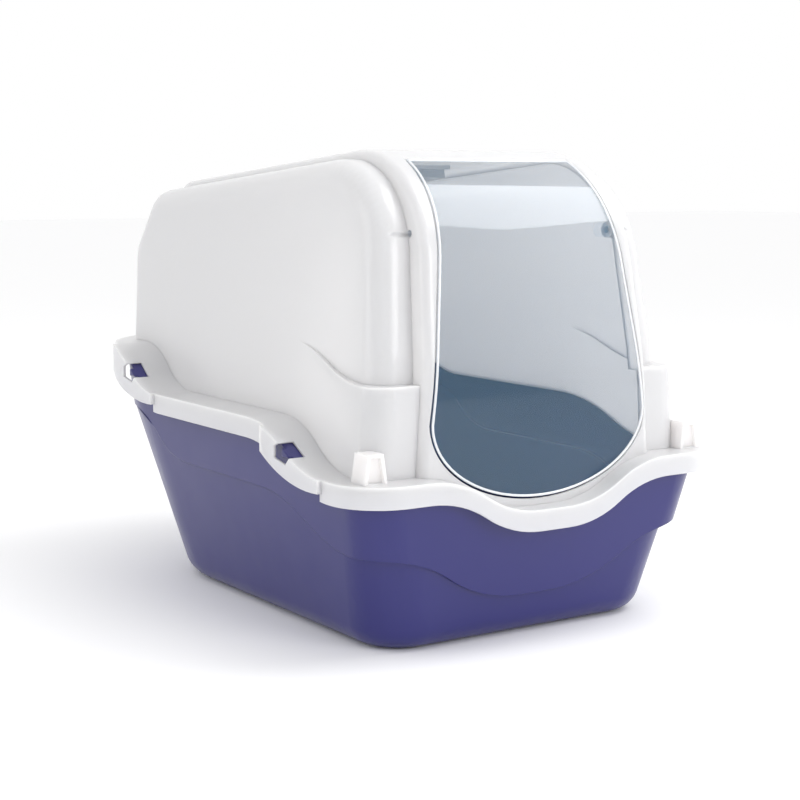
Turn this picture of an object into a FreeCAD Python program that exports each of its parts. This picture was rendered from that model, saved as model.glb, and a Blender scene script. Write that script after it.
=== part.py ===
import FreeCAD, Part
import math
import os

# Hooded cat litter box. Millimetres; X to the right, Y to the back, Z up.
# The origin is the centre of the footprint on the ground; the door faces -Y.

doc = FreeCAD.newDocument("litter_box")
sheet = doc.addObject("Spreadsheet::Sheet", "sizes")

SIZES = [
    # overall
    ("box_length", 550), ("box_width", 390), ("box_height", 411.4),
    ("wall", 2.5), ("fit_gap", 0.6),
    # the rim where hood and tray meet: a skirt that rises in waves from door to back
    ("skirt_height", 18), ("skirt_front_radius", 45), ("skirt_rear_radius", 125),
    ("rim_centre_z", 115), ("rim_front_z", 148), ("rim_side_z", 185), ("rim_rear_z", 225),
    ("dip_inner_x", 15), ("rim_dip_x", 125), ("crease_dip_x", 165),
    ("front_rise_start", 48), ("front_rise_end", 184), ("rear_rise_start", 357), ("rear_rise_end", 467),
    ("crease_rise_start", 325), ("crease_rise_end", 445),
    # ears of the skirt that clip over the tray's tongues
    ("ear_offset", 4), ("ear_width", 94), ("ear_drop", 7), ("front_ear_y", 106), ("rear_ear_y", 412),
    ("window_width", 26), ("window_height", 17), ("tongue_width", 12), ("tongue_height", 7),
    # tray
    ("tray_base_width", 292), ("tray_base_front", 40), ("tray_base_rear", 473),
    ("tray_draft", 0.22), ("tray_rear_draft", 0.28), ("tray_wall", 3),
    ("tray_front_radius", 48), ("tray_rear_radius", 120), ("tray_heel_radius", 24),
    ("crease_centre_z", 38), ("crease_front_z", 84), ("crease_side_z", 123), ("crease_rear_z", 165),
    ("band_step", 4), ("band_front_step", 7), ("lip_width", 6), ("lip_thickness", 3),
    # hood
    ("arch_low_width", 248), ("arch_top_width", 208), ("arch_edge_radius", 8),
    ("cheek_low_width", 325), ("cheek_top_width", 268), ("cheek_edge_radius", 22),
    ("cheek_setback", 20), ("cheek_drop", 8), ("hood_front", 20), ("hood_rear_ledge", 20),
    ("hood_rear_radius", 92), ("front_upright_z", 225), ("front_lean", 0.148), ("shoulder_radius", 107),
    ("roof_fall", 0.083), ("back_upright_z", 298), ("back_lean", 0.667), ("back_radius", 60),
    ("back_top_radius", 34),
    ("collar_grow", 11), ("collar_front_z", 222), ("collar_side_z", 250), ("collar_fade_y", 190),
    ("foot_tab_width", 22), ("foot_tab_height", 26), ("foot_tab_depth", 8), ("foot_tab_recess", 3),
    # door
    ("door_low_z", 122), ("door_wide_z", 190), ("door_half_width", 112), ("door_top_half_width", 84),
    ("door_top_y", 97), ("door_gap", 1.5), ("door_top_gap", 3), ("door_thickness", 2.4),
    ("pivot_y", 57), ("pivot_z", 341.5), ("pin_radius", 3), ("pin_clearance", 0.08), ("pin_boss_radius", 7),
    # odour filter under the roof
    ("filter_width", 120), ("filter_length", 90), ("filter_thickness", 8), ("filter_y", 300),
    ("filter_lid_thickness", 3), ("filter_seat", 4), ("filter_slot_width", 5), ("filter_slot_pitch", 11),
]
for row, (name, value) in enumerate(SIZES, start=1):
    sheet.set("A%d" % row, name)
    sheet.set("B%d" % row, str(value))
    sheet.setAlias("B%d" % row, name)
doc.recompute()


def size(name):
    return float(sheet.get(name))


WALL = size("wall")
GAP = size("fit_gap")
FRONT = -size("box_length") / 2          # front edge of the skirt
FAR = 400.0                              # beyond the part on every side
HALF_SKIRT = size("box_width") / 2 - size("ear_offset")


# Outlines. A point is a pair: (y, z) in side view, (x, z) in front view.
# y is counted from the front edge of the skirt.

def sidePoint(point, x=-FAR):
    return FreeCAD.Vector(x, FRONT + point[0], point[1])


def frontPoint(point, y=-FAR):
    return FreeCAD.Vector(point[0], y, point[1])


def curveTo(place, start, end, tangent=None):
    """An arc from start to end that leaves along tangent, or a line, and its last tangent."""
    run = (end[0] - start[0], end[1] - start[1])
    length = math.hypot(*run)
    if tangent is None:
        return Part.makeLine(place(start), place(end)), (run[0] / length, run[1] / length)
    normal = (-tangent[1], tangent[0])
    lean = run[0] * normal[0] + run[1] * normal[1]
    if abs(lean) < 1e-6:
        return Part.makeLine(place(start), place(end)), tangent
    radius = length * length / (2 * lean)
    centre = (start[0] + normal[0] * radius, start[1] + normal[1] * radius)
    middle = ((start[0] + end[0]) / 2 - centre[0], (start[1] + end[1]) / 2 - centre[1])
    reach = abs(radius) / math.hypot(*middle)
    crown = (centre[0] + middle[0] * reach, centre[1] + middle[1] * reach)
    arc = Part.Arc(place(start), place(crown), place(end)).toShape()
    turn = 1 if radius > 0 else -1
    spoke = (end[0] - centre[0], end[1] - centre[1])
    return arc, (-spoke[1] * turn / abs(radius), spoke[0] * turn / abs(radius))


def waveEdges(place, start, end):
    """Two equal arcs, level at both ends, from start to end."""
    middle = ((start[0] + end[0]) / 2, (start[1] + end[1]) / 2)
    level = (1.0, 0.0)
    first, slope = curveTo(place, start, middle, level)
    second, slope = curveTo(place, middle, end, slope)
    return [first, second]


def prism(edges, along):
    return Part.Face(Part.Wire(edges)).extrude(along)


def wave(prefix):
    """Heights of a wave round the box, how far its front dip reaches, and where it rises to the rear."""
    rise = "rear" if prefix == "rim" else "crease"
    heights = [size("%s_%s_z" % (prefix, place)) for place in ("centre", "front", "side", "rear")]
    return heights + [size(prefix + "_dip_x"), size(rise + "_rise_start"), size(rise + "_rise_end")]


RIM = wave("rim")
CREASE = wave("crease")
COLLAR = [size("collar_front_z")] * 2 + [size("collar_side_z")] * 2 + RIM[4:]


def below(wave, lift):
    """Everything under a wave that runs round the box, moved up by lift."""
    centre_z, front_z, side_z, rear_z = [height + lift for height in wave[:4]]
    low, turn, inner, outer = -50.0, size("skirt_front_radius") + 1, size("dip_inner_x"), wave[4]
    front_rise = (size("front_rise_start"), front_z), (size("front_rise_end"), side_z)
    rear_rise = (wave[5], side_z), (wave[6], rear_z)

    def straight(place, *points):
        return [curveTo(place, start, end)[0] for start, end in zip(points, points[1:])]

    edges = straight(sidePoint, (turn, low), (turn, front_z), front_rise[0])
    edges += waveEdges(sidePoint, *front_rise) + straight(sidePoint, front_rise[1], rear_rise[0])
    if side_z != rear_z:
        edges += waveEdges(sidePoint, *rear_rise)
    else:
        edges += straight(sidePoint, *rear_rise)
    edges += straight(sidePoint, rear_rise[1], (2 * FAR, rear_z), (2 * FAR, low), (turn, low))
    sides = prism(edges, FreeCAD.Vector(2 * FAR, 0, 0))
    if centre_z == front_z:
        front = Part.makeBox(2 * FAR, FAR + FRONT + turn, front_z - low, FreeCAD.Vector(-FAR, -FAR, low))
        return sides.fuse(front)
    edges = straight(frontPoint, (-FAR, low), (-FAR, front_z), (-outer, front_z))
    edges += waveEdges(frontPoint, (-outer, front_z), (-inner, centre_z))
    edges += straight(frontPoint, (-inner, centre_z), (inner, centre_z))
    edges += waveEdges(frontPoint, (inner, centre_z), (outer, front_z))
    edges += straight(frontPoint, (outer, front_z), (FAR, front_z), (FAR, low), (-FAR, low))
    return sides.fuse(prism(edges, FreeCAD.Vector(0, FAR + FRONT + turn, 0)))


def planWire(half, front, rear, front_radius, rear_radius, z):
    """A rounded rectangle at height z; front and rear are counted from the skirt's front edge."""
    def at(x, y):
        return FreeCAD.Vector(x, FRONT + y, z)

    def corner(x, y, radius, first):
        turns = [math.radians(first + step) for step in (0, 45, 90)]
        return Part.Arc(*[at(x + radius * math.cos(t), y + radius * math.sin(t)) for t in turns]).toShape()

    return Part.Wire([
        Part.makeLine(at(-half + front_radius, front), at(half - front_radius, front)),
        corner(half - front_radius, front + front_radius, front_radius, -90),
        Part.makeLine(at(half, front + front_radius), at(half, rear - rear_radius)),
        corner(half - rear_radius, rear - rear_radius, rear_radius, 0),
        Part.makeLine(at(half - rear_radius, rear), at(-half + rear_radius, rear)),
        corner(-half + rear_radius, rear - rear_radius, rear_radius, 90),
        Part.makeLine(at(-half, rear - rear_radius), at(-half, front + front_radius)),
        corner(-half + front_radius, front + front_radius, front_radius, 180)])


def skirtBlock(inset, top, grow=0):
    wire = planWire(HALF_SKIRT - inset + grow, inset, size("box_length") - inset,
                    size("skirt_front_radius") - inset, size("skirt_rear_radius") - inset, 20)
    return Part.Face(wire).extrude(FreeCAD.Vector(0, 0, 260)).common(below(RIM, top))


def crossing(first, first_run, second, second_run):
    """Where two lines in a side view meet, each given by a point and a direction."""
    across = first_run[0] * second_run[1] - first_run[1] * second_run[0]
    gap = (second[0] - first[0], second[1] - first[1])
    along = (gap[0] * second_run[1] - gap[1] * second_run[0]) / across
    return first[0] + first_run[0] * along, first[1] + first_run[1] * along


def roundedEdges(place, points, radii):
    """Straight runs through points, each inner corner rounded by its radius."""
    edges, here = [], points[0]
    for before, corner, after, radius in zip(points, points[1:], points[2:], radii):
        come = (corner[0] - before[0], corner[1] - before[1])
        leave = (after[0] - corner[0], after[1] - corner[1])
        come = [part / math.hypot(*come) for part in come]
        leave = [part / math.hypot(*leave) for part in leave]
        turn = math.acos(come[0] * leave[0] + come[1] * leave[1])
        reach = radius * math.tan(turn / 2)
        start = (corner[0] - come[0] * reach, corner[1] - come[1] * reach)
        end = (corner[0] + leave[0] * reach, corner[1] + leave[1] * reach)
        edges += [curveTo(place, here, start)[0], curveTo(place, start, end, come)[0]]
        here = end
    return edges + [curveTo(place, here, points[-1])[0]]


def hoodOutline(setback, drop, inset, low):
    """Side view of the hood: upright front, round shoulder, roof falling to the back."""
    front, rear = size("hood_front") + setback, size("box_length") - size("hood_rear_ledge")
    upright, fall = (front, size("front_upright_z")), (1.0, -size("roof_fall"))
    crown = (size("hood_front") + size("shoulder_radius"), size("box_height") - drop)
    shoulder = crossing(upright, (size("front_lean"), 1.0), crown, fall)
    knee = (rear, size("back_upright_z"))
    back_top = crossing(knee, (-size("back_lean"), 1.0), crown, fall)
    points = [(front, low), upright, shoulder, back_top, knee, (rear, low)]
    radii = [3 * size("shoulder_radius"), size("shoulder_radius") - 0.8 * setback,
             size("back_top_radius"), size("back_radius")]
    edges = roundedEdges(sidePoint, points, radii)
    edges.append(curveTo(sidePoint, (rear, low), (front, low))[0])
    face = Part.Face(Part.Wire(edges))
    return face.makeOffset2D(-inset) if inset else face


def hoodBody(setback, drop, inset, low_width, top_width, edge_radius, low):
    """The side outline between two leaning side faces, with every side edge rounded."""
    solid = hoodOutline(setback, drop, inset, low - inset).extrude(FreeCAD.Vector(2 * FAR, 0, 0))
    base, top = low_width / 2 - inset, top_width / 2 - inset
    lean = (base - top) / (size("box_height") - 100)
    wide = base + lean * (100 - low)
    corners = [(-wide, low), (wide, low), (top, size("box_height")), (-top, size("box_height"))]
    corners.append(corners[0])
    sides = Part.Face(Part.makePolygon([frontPoint(corner) for corner in corners]))
    solid = solid.common(sides.extrude(FreeCAD.Vector(0, 3 * FAR, 0))).Solids[0]
    rims = [edge for edge in solid.Edges
            if edge.BoundBox.ZMax > low + 1 and (edge.BoundBox.XMax < -50 or edge.BoundBox.XMin > 50)]
    return solid.makeFillet(edge_radius, rims)


def hoodPlan(inset):
    rear = size("box_length") - size("hood_rear_ledge") - inset
    wire = planWire(size("cheek_low_width") / 2 + size("collar_grow") - inset, inset, rear, 20,
                    size("hood_rear_radius") + size("collar_grow") - inset, 20)
    return Part.Face(wire).extrude(FreeCAD.Vector(0, 0, 500))


def collarTaper(inset):
    """A wedge that lets the collar stand out at the front and run out into the side faces."""
    low, high = 20.0, 500.0
    lean = (size("cheek_low_width") - size("cheek_top_width")) / 2 / (size("box_height") - 100)
    start, end, sunk = size("cheek_setback"), size("collar_fade_y"), 2.0
    slope = (size("collar_grow") + sunk) / (end - start)
    sections = []
    for y in (start - 60, end):
        half = size("cheek_low_width") / 2 - inset + slope * (end - y) - sunk
        wide, narrow = half + lean * (100 - low), half + lean * (100 - high)
        corners = [(-wide, low), (wide, low), (narrow, high), (-narrow, high)]
        corners.append(corners[0])
        sections.append(Part.makePolygon([frontPoint(corner, FRONT + y) for corner in corners]))
    return Part.makeLoft(sections, True, True)


def hoodBlock(inset, low):
    arch = hoodBody(0, 0, inset, size("arch_low_width"), size("arch_top_width"),
                    size("arch_edge_radius") - inset, low)
    cheeks = hoodBody(size("cheek_setback"), size("cheek_drop"), inset, size("cheek_low_width"),
                      size("cheek_top_width"), size("cheek_edge_radius") - inset, low)
    grow = size("collar_grow")
    collar = hoodBody(size("cheek_setback") - grow, size("cheek_drop"), inset,
                      size("cheek_low_width") + 2 * grow, size("cheek_top_width") + 2 * grow,
                      size("cheek_edge_radius") + 4 - inset, low)
    collar = collar.common(collarTaper(inset)).common(below(COLLAR, -inset))
    return arch.fuse([cheeks, collar]).common(hoodPlan(inset))


def ears(inset, top):
    """Four lobes of the skirt's sides, which hang below it and carry the clip windows."""
    lobes = []
    half, drop = size("ear_width") / 2 - inset, size("ear_drop")
    for centre, front_z, rear_z in ((size("front_ear_y"), size("rim_front_z"), size("rim_side_z")),
                                    (size("rear_ear_y"), size("rim_side_z"), size("rim_rear_z"))):
        low = (front_z + rear_z) / 2 - size("skirt_height") - 6 * inset
        tilt = (rear_z - front_z) * 0.3
        left, right = (centre - half, low - tilt), (centre + half, low + tilt)
        bottom = (centre - half * 0.25, low - drop - tilt * 0.25)
        roof = [(centre + half, 300), (centre - half, 300)]
        edges = [Part.Arc(sidePoint(left), sidePoint(bottom), sidePoint(right)).toShape()]
        for start, end in ((right, roof[0]), (roof[0], roof[1]), (roof[1], left)):
            edges.append(curveTo(sidePoint, start, end)[0])
        lobes.append(prism(edges, FreeCAD.Vector(2 * FAR, 0, 0)))
    grow = size("ear_offset")
    return lobes[0].fuse(lobes[1]).common(skirtBlock(inset, top, grow))


def windows(depth_in):
    """The clip windows, cut through the ears where the rim wave is steepest."""
    cuts = []
    for y, z in windowPlaces():
        half, tall = size("window_width") / 2, size("window_height") / 2
        outline = [(y - half, z - tall * 0.2), (y - half * 0.45, z - tall), (y + half, z - tall * 0.55),
                   (y + half, z + tall * 0.6), (y + half * 0.45, z + tall), (y - half, z + tall * 0.35)]
        outline.append(outline[0])
        face = Part.Face(Part.makePolygon([sidePoint(point) for point in outline]))
        cut = face.extrude(FreeCAD.Vector(2 * FAR, 0, 0))
        cuts.append(cut)
    core = Part.makeBox(2 * (HALF_SKIRT - depth_in), 3 * FAR, 3 * FAR,
                        FreeCAD.Vector(-(HALF_SKIRT - depth_in), -FAR, -FAR))
    return cuts[0].fuse(cuts[1]).cut(core)


def windowPlaces():
    front = (size("front_rise_start") + size("front_rise_end")) / 2
    rear = (size("rear_rise_start") + size("rear_rise_end")) / 2
    lower = size("skirt_height") * 0.25
    return [(front, (size("rim_front_z") + size("rim_side_z")) / 2 - lower),
            (rear, (size("rim_side_z") + size("rim_rear_z")) / 2 - lower)]


def doorOutline(grow, top):
    """Front view of the flap, grown on its sides and below: leaning sides on a round bottom."""
    wide, low = size("door_half_width") + grow, size("door_wide_z")
    lean = (size("door_half_width") - size("door_top_half_width")) / (size("box_height") - low)
    high = wide - lean * (top - low)
    ellipse = Part.Ellipse(frontPoint((0, low)), wide, low - size("door_low_z") + grow)
    ellipse.Axis = FreeCAD.Vector(0, -1, 0)
    bottom = Part.Arc(ellipse, math.pi, 2 * math.pi).toShape()
    left, right = (-wide, low), (wide, low)
    edges = [bottom, curveTo(frontPoint, right, (high, top))[0],
             curveTo(frontPoint, (high, top), (-high, top))[0], curveTo(frontPoint, (-high, top), left)[0]]
    return Part.Face(Part.Wire(Part.__sortEdges__(edges)))


def doorWay(grow, rear_y):
    return doorOutline(grow, size("box_height") + 20).extrude(FreeCAD.Vector(0, FAR + FRONT + rear_y, 0))


def tube(x_from, x_to, radius):
    place = FreeCAD.Vector(x_from, FRONT + size("pivot_y"), size("pivot_z"))
    return Part.makeCylinder(radius, x_to - x_from, place, FreeCAD.Vector(1, 0, 0))


def onBothSides(solid):
    return solid.fuse(solid.mirror(FreeCAD.Vector(0, 0, 0), FreeCAD.Vector(1, 0, 0)))


def halfArchAt(z):
    low, top = size("arch_low_width") / 2, size("arch_top_width") / 2
    return low - (low - top) * (z - 100) / (size("box_height") - 100)


def halfDoorAt(z):
    low = size("door_wide_z")
    lean = (size("door_half_width") - size("door_top_half_width")) / (size("box_height") - low)
    return size("door_half_width") - lean * (z - low)


def roofFrame():
    """Centre of the filter well on the roof line, tilted with the roof."""
    face = hoodOutline(0, 0, 0, 90)
    y = size("filter_y")

    def roofHeight(at):
        line = Part.makeLine(sidePoint((at, 100)), sidePoint((at, 600)))
        return face.common(line).BoundBox.ZMax

    half = size("filter_length") / 2
    near, far = roofHeight(y - half), roofHeight(y + half)
    tilt = math.degrees(math.atan2(far - near, 2 * half))
    return FreeCAD.Placement(FreeCAD.Vector(0, FRONT + y, (near + far) / 2),
                             FreeCAD.Rotation(FreeCAD.Vector(1, 0, 0), tilt))


def roofPlate(width, length, low, high):
    plate = Part.makeBox(width, length, high - low, FreeCAD.Vector(-width / 2, -length / 2, low))
    plate.Placement = roofFrame()
    return plate


def roofSlots(low, high):
    width, pitch = size("filter_slot_width"), size("filter_slot_pitch")
    length = size("filter_length") - 4 * size("filter_seat")
    count = int((size("filter_width") - 4 * size("filter_seat") - width) / pitch) + 1
    slots = []
    for index in range(count):
        x = (index - (count - 1) / 2) * pitch
        slot = Part.makeBox(width, length, high - low, FreeCAD.Vector(x - width / 2, -length / 2, low))
        slot = slot.makeFillet(width / 2 - 0.1, [slot.Edges[i] for i in (0, 2, 4, 6)])
        slot.Placement = roofFrame()
        slots.append(slot)
    return slots


def makeHood():
    shell = hoodBlock(0, 90).cut(below(RIM, -WALL))
    skirt = skirtBlock(0, 0).cut(below(RIM, -size("skirt_height")))
    hollow = skirtBlock(WALL, -WALL).fuse(ears(WALL, -WALL))
    inner = hoodBlock(WALL, 40)
    boss = tube(halfDoorAt(size("pivot_z")) + 2 * size("door_gap") + WALL, halfArchAt(size("pivot_z")) - 1,
                size("pin_boss_radius"))
    bore = tube(0, FAR, size("pin_radius") + size("pin_clearance"))
    well_low = -size("filter_lid_thickness") - size("filter_thickness") - WALL - 1
    well = roofPlate(size("filter_width") + 2 * WALL, size("filter_length") + 2 * WALL, well_low, 20)
    seat = roofPlate(size("filter_width") + 2 * size("filter_seat") + 2 * WALL,
                     size("filter_length") + 2 * size("filter_seat") + 2 * WALL,
                     -size("filter_lid_thickness") - WALL - 1, 20)
    well = well.fuse(seat).common(hoodBody(0, 0, 0, size("arch_low_width"), size("arch_top_width"),
                                           size("arch_edge_radius"), 90))
    pad_room = roofPlate(size("filter_width"), size("filter_length"), well_low + WALL, 20)
    lid_room = roofPlate(size("filter_width") + 2 * size("filter_seat"),
                         size("filter_length") + 2 * size("filter_seat"), -size("filter_lid_thickness") - 1, 20)
    tabs = frontTabs()
    hood = shell.fuse([skirt, ears(0, 0), tabs]).cut([hollow, inner])
    hood = hood.fuse([well, onBothSides(boss)])
    hood = hood.cut([pad_room, lid_room, onBothSides(bore), windows(12),
                     doorWay(size("door_gap"), size("door_top_y") + size("door_top_gap"))])
    return hood.cut(roofSlots(well_low - 5, well_low + WALL + 1))


def makeDoor():
    skin = hoodOutline(0, 0, 0, 90).cut(hoodOutline(0, 0, size("door_thickness"), 90))
    skin = skin.extrude(FreeCAD.Vector(2 * FAR, 0, 0)).common(doorWay(0, size("door_top_y")))
    skin = max(skin.Solids, key=lambda solid: solid.Volume)
    half = halfDoorAt(size("pivot_z"))
    pin = size("pin_radius")
    lug_wall = size("door_thickness") + 0.6
    lug = tube(half - lug_wall - 1.5, half - 1.5, pin + 3)
    neck_high = size("pivot_z") + pin + 3
    neck = Part.makeBox(lug_wall, size("pivot_y") - 20, 2 * (pin + 3),
                        FreeCAD.Vector(half - lug_wall - 1.5, FRONT + 20, neck_high - 2 * (pin + 3)))
    neck = neck.common(hoodOutline(0, 0, 1, 90).extrude(FreeCAD.Vector(2 * FAR, 0, 0)))
    stub = tube(half - 1.6, halfArchAt(size("pivot_z")) - 0.6, pin)
    return skin.fuse([onBothSides(lug.fuse([neck, stub]))])


def frontTabs():
    """A small upright tab on the rim in front of each cheek."""
    base, rise = size("foot_tab_width") / 2, size("foot_tab_height")
    centre, low = size("cheek_low_width") / 2 + 3, size("rim_front_z") - 2
    outline = [(centre - base, low), (centre + base, low), (centre + base * 0.66, low + rise),
               (centre - base * 0.66, low + rise)]
    outline.append(outline[0])
    front = FRONT + size("skirt_front_radius") / 2 - size("foot_tab_depth") / 2
    face = Part.Face(Part.makePolygon([frontPoint(point, front) for point in outline]))
    tab = face.extrude(FreeCAD.Vector(0, size("foot_tab_depth") + 12, 0))
    rim = size("foot_tab_recess")
    recess = face.makeOffset2D(-rim).extrude(FreeCAD.Vector(0, rim, 0))
    return onBothSides(tab.cut(recess))


def makeTray():
    wall, gap = size("tray_wall"), WALL + GAP
    foot, front, rear = size("tray_base_width") / 2, size("tray_base_front"), size("tray_base_rear")
    draft, rear_draft, height = size("tray_draft"), size("tray_rear_draft"), 240.0
    lip_half = HALF_SKIRT - gap

    def body(inset):
        front_radius, rear_radius = size("tray_front_radius") - inset, size("tray_rear_radius") - inset
        low = planWire(foot - inset, front + inset, rear - inset, front_radius, rear_radius, inset)
        grow = height - inset
        high = planWire(foot - inset + draft * grow, front + inset - draft * grow, rear - inset + rear_draft * grow,
                        front_radius, rear_radius, height)
        solid = Part.makeLoft([low, high], True, True)
        heel = [edge for edge in solid.Edges if edge.BoundBox.ZMax < inset + 1]
        return solid.makeFillet(size("tray_heel_radius") - inset, heel)

    def band(inset):
        edge = gap + size("lip_width") + inset
        front_radius, rear_radius = size("skirt_front_radius") - edge, size("skirt_rear_radius") - edge
        neck_z = size("rim_front_z") - size("skirt_height")
        step, front_step = size("band_step") - inset, size("band_front_step") - inset
        sections = []
        for z, half, front_y, rear_y in (
                (0, foot + step, front - front_step, rear + step),
                (neck_z, min(foot + draft * neck_z + step, lip_half - size("lip_width") - inset),
                 edge + 1, rear + rear_draft * neck_z + 2 * step),
                (height, lip_half - size("lip_width") - inset, edge, size("box_length") - edge)):
            sections.append(planWire(half, front_y, rear_y, front_radius, rear_radius, z))
        return Part.makeLoft(sections, True, True)

    def wallOf(inset, lift):
        lower = body(inset).common(below(CREASE, lift))
        upper = band(inset).cut(below(CREASE, lift))
        return lower, upper

    lower, upper = wallOf(0, 0)
    top = below(RIM, -gap)
    lip = skirtBlock(gap, -gap).cut(below(RIM, -gap - size("lip_thickness")))
    inner_lower, inner_upper = wallOf(wall, wall)
    tongues = []
    for y, z in windowPlaces():
        tongue = Part.makeBox(HALF_SKIRT + size("ear_offset") - gap, size("tongue_width"), size("tongue_height"),
                              FreeCAD.Vector(0, FRONT + y - size("tongue_width") / 2, z - size("tongue_height") / 2))
        tongues.append(tongue.makeFillet(2, [edge for edge in tongue.Edges
                                             if edge.BoundBox.XMin > HALF_SKIRT - 1]))
    arms = onBothSides(tongues[0].fuse(tongues[1])).common(below(RIM, -gap))
    tray = lower.fuse(upper).common(top).fuse([lip, arms])
    return tray.cut([inner_lower, inner_upper])


def makeFilterLid():
    seat, slack = size("filter_seat"), 0.5
    lid = roofPlate(size("filter_width") + 2 * seat - 2 * slack, size("filter_length") + 2 * seat - 2 * slack,
                    -size("filter_lid_thickness") - 0.7, -0.7)
    return lid.cut(roofSlots(-size("filter_lid_thickness") - 5, 5))


def makeFilterPad():
    slack = 1.0
    low = -size("filter_lid_thickness") - size("filter_thickness") - 0.9
    return roofPlate(size("filter_width") - 2 * slack, size("filter_length") - 2 * slack, low + 0.2,
                     low + size("filter_thickness") - 0.2)


def addPart(name, shape):
    solids = shape.Solids
    if not shape.isValid() or len(solids) != 1:
        raise RuntimeError("%s is not one valid solid (%d)" % (name, len(solids)))
    node = doc.addObject("Part::Feature", name)
    node.Label = name
    node.Shape = solids[0]
    return node


nodes = [addPart("tray", makeTray()),
         addPart("hood", makeHood()),
         addPart("swing_door", makeDoor()),
         addPart("filter_lid", makeFilterLid()),
         addPart("filter_pad", makeFilterPad())]
doc.recompute()
for item in doc.Objects:
    if "Invalid" in item.State or "Error" in item.State:
        raise RuntimeError("%s did not recompute" % item.Label)
os.makedirs("parts", exist_ok=True)
for node in nodes:
    node.Shape.exportStep("parts/%s.step" % node.Label)
    box = node.Shape.optimalBoundingBox(False, False)
    print("%-12s %8.1f cm3  x %.1f..%.1f  y %.1f..%.1f  z %.1f..%.1f" % (
        node.Label, node.Shape.Volume / 1000, box.XMin, box.XMax, box.YMin, box.YMax, box.ZMin, box.ZMax))
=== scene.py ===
import math

import bmesh
import bpy
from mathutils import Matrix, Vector


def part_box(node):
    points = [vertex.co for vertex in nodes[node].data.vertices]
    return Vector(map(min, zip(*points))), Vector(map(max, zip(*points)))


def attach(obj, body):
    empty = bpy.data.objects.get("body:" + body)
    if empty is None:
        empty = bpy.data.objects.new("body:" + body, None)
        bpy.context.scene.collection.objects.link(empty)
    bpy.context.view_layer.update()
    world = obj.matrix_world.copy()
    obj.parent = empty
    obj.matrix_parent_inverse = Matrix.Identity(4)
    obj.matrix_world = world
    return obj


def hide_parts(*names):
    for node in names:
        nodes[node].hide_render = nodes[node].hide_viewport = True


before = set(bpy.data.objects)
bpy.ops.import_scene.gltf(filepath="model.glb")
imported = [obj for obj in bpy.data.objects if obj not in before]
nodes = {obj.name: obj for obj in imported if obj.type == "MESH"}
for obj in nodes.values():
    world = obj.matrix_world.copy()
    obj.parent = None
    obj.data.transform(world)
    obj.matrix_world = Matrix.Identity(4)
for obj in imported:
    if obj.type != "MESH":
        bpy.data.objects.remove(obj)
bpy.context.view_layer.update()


scene = bpy.context.scene


# camera and room
def aimAt(thing, target):
    direction = Vector(target) - thing.location
    thing.rotation_euler = direction.to_track_quat("-Z", "Y").to_euler()


view = {"place": (-0.8575, -1.3349, 0.3827), "forward": (0.5477, 0.8266, -0.1297),
        "lens": 75.0, "sensor": 36.0, "farthest": 50.0}


def makeCamera():
    camera = bpy.data.objects.new("camera", bpy.data.cameras.new("camera"))
    scene.collection.objects.link(camera)
    camera.location = view["place"]
    camera.data.lens = view["lens"]
    camera.data.sensor_width = view["sensor"]
    camera.data.clip_end = view["farthest"]
    aimAt(camera, Vector(view["place"]) + Vector(view["forward"]))
    scene.camera = camera


room = {"floorColour": (0.97, 0.97, 0.975), "floorRoughness": 0.8, "floorSize": 30, "floorDrop": 0.0005,
        "worldColour": (1.0, 1.0, 1.0), "worldStrength": 1.0}

# name, place, what it faces, width, height, watts
lamps = [("softboxLeft", (-2.1, 0.35, 1.0), (0, 0.05, 0.25), 0.9, 1.5, 5.0),
         ("softboxFront", (0.5, -2.4, 1.0), (0, 0, 0.2), 1.2, 0.8, 14.0),
         ("softboxTop", (-0.1, -0.5, 2.3), (0, 0, 0.3), 1.4, 1.4, 1.0),
         ("softboxVisor", (0.82, -0.62, 1.55), (0, -0.22, 0.35), 0.9, 1.0, 12.0)]


def areaLamp(name, place, target, width, height, watts):
    data = bpy.data.lights.new(name, "AREA")
    data.shape = "RECTANGLE"
    data.size = width
    data.size_y = height
    data.energy = watts
    lamp = bpy.data.objects.new(name, data)
    scene.collection.objects.link(lamp)
    lamp.location = place
    aimAt(lamp, target)


def makeRoom():
    bpy.ops.mesh.primitive_plane_add(size=room["floorSize"], location=(0, 0, -room["floorDrop"]))
    floor = bpy.context.object
    floor.name = "floor"
    material, _, shader = plainMaterial("palePaper")
    shader.inputs["Base Color"].default_value = (*room["floorColour"], 1)
    shader.inputs["Roughness"].default_value = room["floorRoughness"]
    giveMaterial(floor, material)
    world = bpy.data.worlds.new("studio")
    world.use_nodes = True
    backdrop = world.node_tree.nodes["Background"]
    backdrop.inputs["Color"].default_value = (*room["worldColour"], 1)
    backdrop.inputs["Strength"].default_value = room["worldStrength"]
    scene.world = world
    scene.view_settings.view_transform = "Standard"  # plain colour, so that white paper stays white
    for lamp in lamps:
        areaLamp(*lamp)


# materials; a look's numbers are in its dictionary, and every length is in metres
def plainMaterial(name):
    material = bpy.data.materials.new(name)
    material.use_nodes = True
    return material, material.node_tree, material.node_tree.nodes["Principled BSDF"]


def addNode(tree, kind, **values):
    node = tree.nodes.new(kind)
    for name, value in values.items():
        if name in node.inputs:
            node.inputs[name].default_value = value
        else:
            setattr(node, name, value)
    return node


plastic = {"ior": 1.49, "coatRoughness": 0.08, "bumpDepth": 0.0002, "edgeSamples": 6, "glowDepth": 0.02,
           "glowColour": (1.0, 0.95, 0.9), "rubRange": (0.3, 0.75)}


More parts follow.
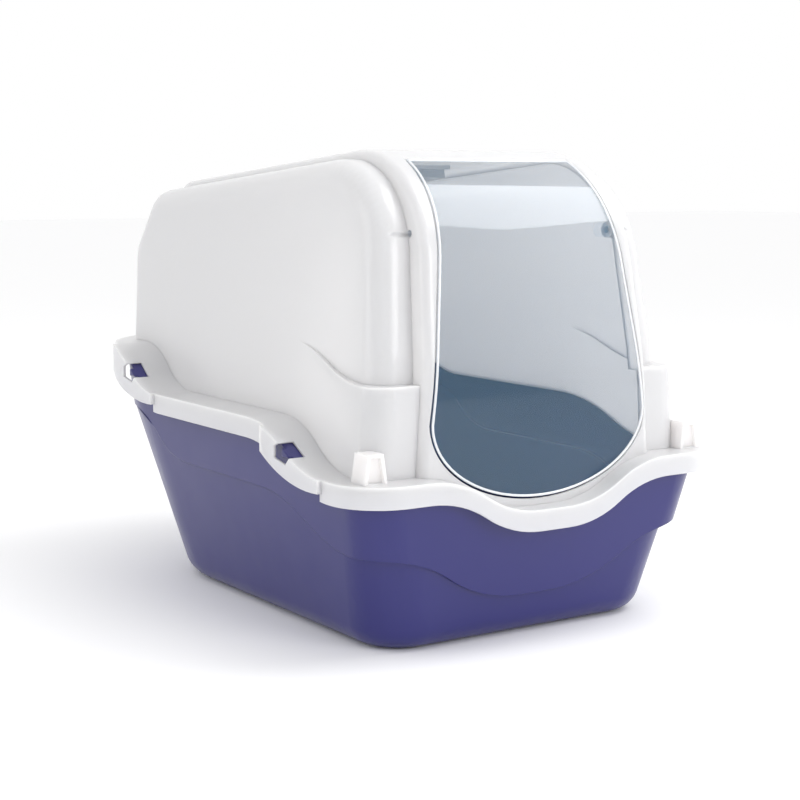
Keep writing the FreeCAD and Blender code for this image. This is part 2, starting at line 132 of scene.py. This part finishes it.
def mouldedPlastic(name, look):
    # moulded plastic: slightly cloudy colour, faint pebble, and fine rub marks in the gloss
    material, tree, shader = plainMaterial(name)
    link = tree.links.new
    place = addNode(tree, "ShaderNodeTexCoord")
    cloud = addNode(tree, "ShaderNodeTexNoise", Scale=look["cloudScale"], Detail=3.0)
    link(place.outputs["Object"], cloud.inputs["Vector"])
    tint = addNode(tree, "ShaderNodeMix", data_type="RGBA")  # its colours are sockets 6 and 7
    tint.inputs[6].default_value = (*look["colour"], 1)
    tint.inputs[7].default_value = (*look["otherColour"], 1)
    link(cloud.outputs["Fac"], tint.inputs[0])
    link(tint.outputs[2], shader.inputs["Base Color"])
    rub = addNode(tree, "ShaderNodeTexNoise", Scale=look["rubScale"], Detail=6.0)
    link(place.outputs["Object"], rub.inputs["Vector"])
    gloss = addNode(tree, "ShaderNodeMapRange")
    gloss.inputs["From Min"].default_value = plastic["rubRange"][0]
    gloss.inputs["From Max"].default_value = plastic["rubRange"][1]
    gloss.inputs["To Min"].default_value = look["roughness"][0]
    gloss.inputs["To Max"].default_value = look["roughness"][1]
    link(rub.outputs["Fac"], gloss.inputs["Value"])
    link(gloss.outputs["Result"], shader.inputs["Roughness"])
    pebble = addNode(tree, "ShaderNodeTexNoise", Scale=look["pebbleScale"], Detail=1.0)
    link(place.outputs["Object"], pebble.inputs["Vector"])
    # moulded edges are never knife sharp
    soft = addNode(tree, "ShaderNodeBevel", Radius=look["edgeRadius"], samples=plastic["edgeSamples"])
    bump = addNode(tree, "ShaderNodeBump", Strength=look["bump"], Distance=plastic["bumpDepth"])
    link(pebble.outputs["Fac"], bump.inputs["Height"])
    link(soft.outputs["Normal"], bump.inputs["Normal"])
    link(bump.outputs["Normal"], shader.inputs["Normal"])
    shader.inputs["IOR"].default_value = plastic["ior"]
    shader.inputs["Coat Weight"].default_value = look["coat"]
    shader.inputs["Coat Roughness"].default_value = plastic["coatRoughness"]
    shader.inputs["Subsurface Weight"].default_value = look["subsurface"]
    shader.inputs["Subsurface Scale"].default_value = plastic["glowDepth"]
    shader.inputs["Subsurface Radius"].default_value = plastic["glowColour"]
    return material


whitePlastic = {"colour": (0.745, 0.73, 0.73), "otherColour": (0.735, 0.72, 0.72), "cloudScale": 5.0,
                "rubScale": 60.0, "roughness": (0.3, 0.31), "pebbleScale": 420.0, "bump": 0.015, "coat": 0.35,
                "edgeRadius": 0.0018, "subsurface": 0.7}
navyPlastic = {"colour": (0.013, 0.0125, 0.125), "otherColour": (0.016, 0.015, 0.14), "cloudScale": 6.0,
               "rubScale": 30.0, "roughness": (0.28, 0.36), "pebbleScale": 380.0, "bump": 0.02, "coat": 0.15,
               "edgeRadius": 0.0022, "subsurface": 0.0}
foamLook = {"colour": (0.02, 0.02, 0.022), "otherColour": (0.035, 0.035, 0.036), "cloudScale": 300.0,
            "rubScale": 500.0, "roughness": (0.9, 1.0), "pebbleScale": 500.0, "bump": 0.9, "coat": 0.0,
            "edgeRadius": 0.0005, "subsurface": 0.0}


def clearPlastic(name, look):
    # clear plastic: see-through, a faint haze of its colour, and a gloss that grows towards grazing angles
    material, tree, shader = plainMaterial(name)
    link = tree.links.new
    place = addNode(tree, "ShaderNodeTexCoord")
    haze = addNode(tree, "ShaderNodeTexNoise", Scale=look["hazeScale"], Detail=5.0)
    link(place.outputs["Object"], haze.inputs["Vector"])
    gloss = addNode(tree, "ShaderNodeMapRange")
    gloss.inputs["To Min"].default_value = look["roughness"][0]
    gloss.inputs["To Max"].default_value = look["roughness"][1]
    link(haze.outputs["Fac"], gloss.inputs["Value"])
    link(gloss.outputs["Result"], shader.inputs["Roughness"])
    shader.inputs["Base Color"].default_value = (*look["colour"], 1)
    shader.inputs["Alpha"].default_value = look["cover"]
    shader.inputs["IOR"].default_value = look["ior"]
    mirror = addNode(tree, "ShaderNodeBsdfGlossy", Color=(*look["shineColour"], 1))
    link(gloss.outputs["Result"], mirror.inputs["Roughness"])
    edgeOn = addNode(tree, "ShaderNodeFresnel", IOR=look["gloss"])
    outside = addNode(tree, "ShaderNodeMath", operation="SUBTRACT")
    outside.inputs[0].default_value = 1.0
    link(addNode(tree, "ShaderNodeNewGeometry").outputs["Backfacing"], outside.inputs[1])
    shine = addNode(tree, "ShaderNodeMath", operation="MULTIPLY")  # only the outer skin mirrors the room
    link(edgeOn.outputs["Fac"], shine.inputs[0])
    link(outside.outputs["Value"], shine.inputs[1])
    both = addNode(tree, "ShaderNodeMixShader")
    link(shine.outputs["Value"], both.inputs[0])
    link(shader.outputs["BSDF"], both.inputs[1])
    link(mirror.outputs["BSDF"], both.inputs[2])
    link(both.outputs["Shader"], tree.nodes["Material Output"].inputs["Surface"])
    return material


clearSheet = {"colour": (0.22, 0.6, 1.0), "cover": 0.045, "gloss": 1.5, "ior": 1.5, "hazeScale": 14.0,
              "roughness": (0.02, 0.09), "shineColour": (0.93, 0.97, 1.0)}
# the bead's near-white colour at high cover is a painted highlight: it stands for the clear rolled edge
# catching light
beadPaintedHighlight = {"colour": (0.95, 0.96, 0.98), "cover": 0.6, "gloss": 1.5, "ior": 1.5, "hazeScale": 14.0,
             "roughness": (0.03, 0.08), "shineColour": (0.93, 0.97, 1.0)}


def giveMaterial(piece, material):
    piece.data.materials.clear()
    piece.data.materials.append(material)


makeCamera()
makeRoom()
print("room and camera ready")
whiteMaterial = mouldedPlastic("whitePlastic", whitePlastic)
navyMaterial = mouldedPlastic("navyPlastic", navyPlastic)
foamMaterial = mouldedPlastic("blackFoam", foamLook)


# mouldings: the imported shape, welded, with smooth faces between its real creases
moulding = {"creaseAngle": 32.0, "weld": 0.000005, "normalWeight": 90}


def mouldedPiece(name, node, body, material):
    source = bmesh.new()
    source.from_mesh(nodes[node].data)
    bmesh.ops.remove_doubles(source, verts=source.verts, dist=moulding["weld"])
    for face in source.faces:
        face.smooth = True
    limit = math.radians(moulding["creaseAngle"])
    for edge in source.edges:
        edge.smooth = len(edge.link_faces) == 2 and edge.calc_face_angle(0.0) < limit
    mesh = bpy.data.meshes.new(name)
    source.to_mesh(mesh)
    source.free()
    if "custom_normal" in mesh.attributes:
        mesh.attributes.remove(mesh.attributes["custom_normal"])
    piece = bpy.data.objects.new(name, mesh)
    scene.collection.objects.link(piece)
    shade = piece.modifiers.new("evenShading", "WEIGHTED_NORMAL")
    shade.keep_sharp = True
    shade.weight = moulding["normalWeight"]
    giveMaterial(piece, material)
    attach(piece, body)
    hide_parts(node)
    return piece


clearMaterial = clearPlastic("clearPlastic", clearSheet)
mouldedPiece("hoodShell", "hood", "hood", whiteMaterial)
mouldedPiece("filterLid", "filter_lid", "filter_lid", whiteMaterial)
mouldedPiece("trayPan", "tray", "tray", navyMaterial)
flap = mouldedPiece("flap", "swing_door", "door", clearMaterial)
giveMaterial(nodes["filter_pad"], foamMaterial)
print("mouldings ready")


# the flap's rolled edge: a fine clear bead that follows its outline over the curved face; the bead's shape is
# real, its near-white colour is a painted highlight
bead = {"radius": 0.0011, "roundness": 3, "inset": 0.0013, "halfWidth": 0.112, "topHalfWidth": 0.084,
        "widestHeight": 0.190, "lowHeight": 0.122, "fullHeight": 0.4114,
        "turnDepth": -0.148, "turnHeight": 0.303,
        "firstAngle": 112, "angleStep": 2, "heightStep": 0.004, "footMargin": 0.0005,
        "footSteps": 48, "reach": 0.3, "farInFront": -0.5}


def flapProfile(flap):
    # (y, z) down the middle of the flap's outer face, from its top rear edge to its foot
    points = []
    turn = Vector((0.0, bead["turnDepth"], bead["turnHeight"]))
    for degrees in range(bead["firstAngle"], -1, -bead["angleStep"]):  # over the shoulder
        angle = math.radians(degrees)
        outward = Vector((0.0, -math.cos(angle), math.sin(angle)))
        hit, place, _, _ = flap.ray_cast(turn + outward * bead["reach"], -outward)
        if hit:
            points.append((place.y, place.z))
    height = bead["turnHeight"] - bead["heightStep"]
    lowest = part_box("swing_door")[0].z + bead["footMargin"]
    while height > lowest:  # then straight down
        hit, place, _, _ = flap.ray_cast(Vector((0.0, bead["farInFront"], height)), Vector((0, 1, 0)))
        if hit:
            points.append((place.y, place.z))
        height -= bead["heightStep"]
    return points


def depthAt(profile, height):
    for (upperY, upperZ), (lowerY, lowerZ) in zip(profile, profile[1:]):
        if lowerZ <= height <= upperZ:
            share = (height - lowerZ) / max(upperZ - lowerZ, 1e-9)
            return lowerY + (upperY - lowerY) * share
    return profile[-1][0]


def beadLoop(profile):
    # down one leaning side, round the half ellipse at the foot, and up the other side
    wide = bead["halfWidth"] - bead["inset"]
    middle = bead["widestHeight"]
    drop = middle - bead["lowHeight"] - bead["inset"]
    lean = (bead["halfWidth"] - bead["topHalfWidth"]) / (bead["fullHeight"] - middle)
    side = [(wide - lean * (z - middle), y, z) for y, z in profile if z > middle]
    foot = []
    for step in range(bead["footSteps"] + 1):
        angle = math.pi * step / bead["footSteps"]
        z = middle - drop * math.sin(angle)
        foot.append((wide * math.cos(angle), depthAt(profile, z), z))
    return side + foot + [(-x, y, z) for x, y, z in reversed(side)]


def makeBead(flap):
    loop = beadLoop(flapProfile(flap))
    curve = bpy.data.curves.new("flapBead", "CURVE")
    curve.dimensions = "3D"
    curve.bevel_depth = bead["radius"]
    curve.bevel_resolution = bead["roundness"]
    line = curve.splines.new("POLY")
    line.points.add(len(loop) - 1)
    for point, place in zip(line.points, loop):
        point.co = (*place, 1)
    line.use_cyclic_u = True
    draft = bpy.data.objects.new("flapBeadDraft", curve)
    mesh = bpy.data.meshes.new_from_object(draft)
    bpy.data.objects.remove(draft)
    for face in mesh.polygons:
        face.use_smooth = True
    piece = bpy.data.objects.new("flapBead", mesh)
    scene.collection.objects.link(piece)
    giveMaterial(piece, paintedHighlightBeadMaterial)
    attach(piece, "door")


# this material paints the bead's highlight into its colour
paintedHighlightBeadMaterial = clearPlastic("beadWithPaintedHighlight", beadPaintedHighlight)
makeBead(flap)
print("bead ready")
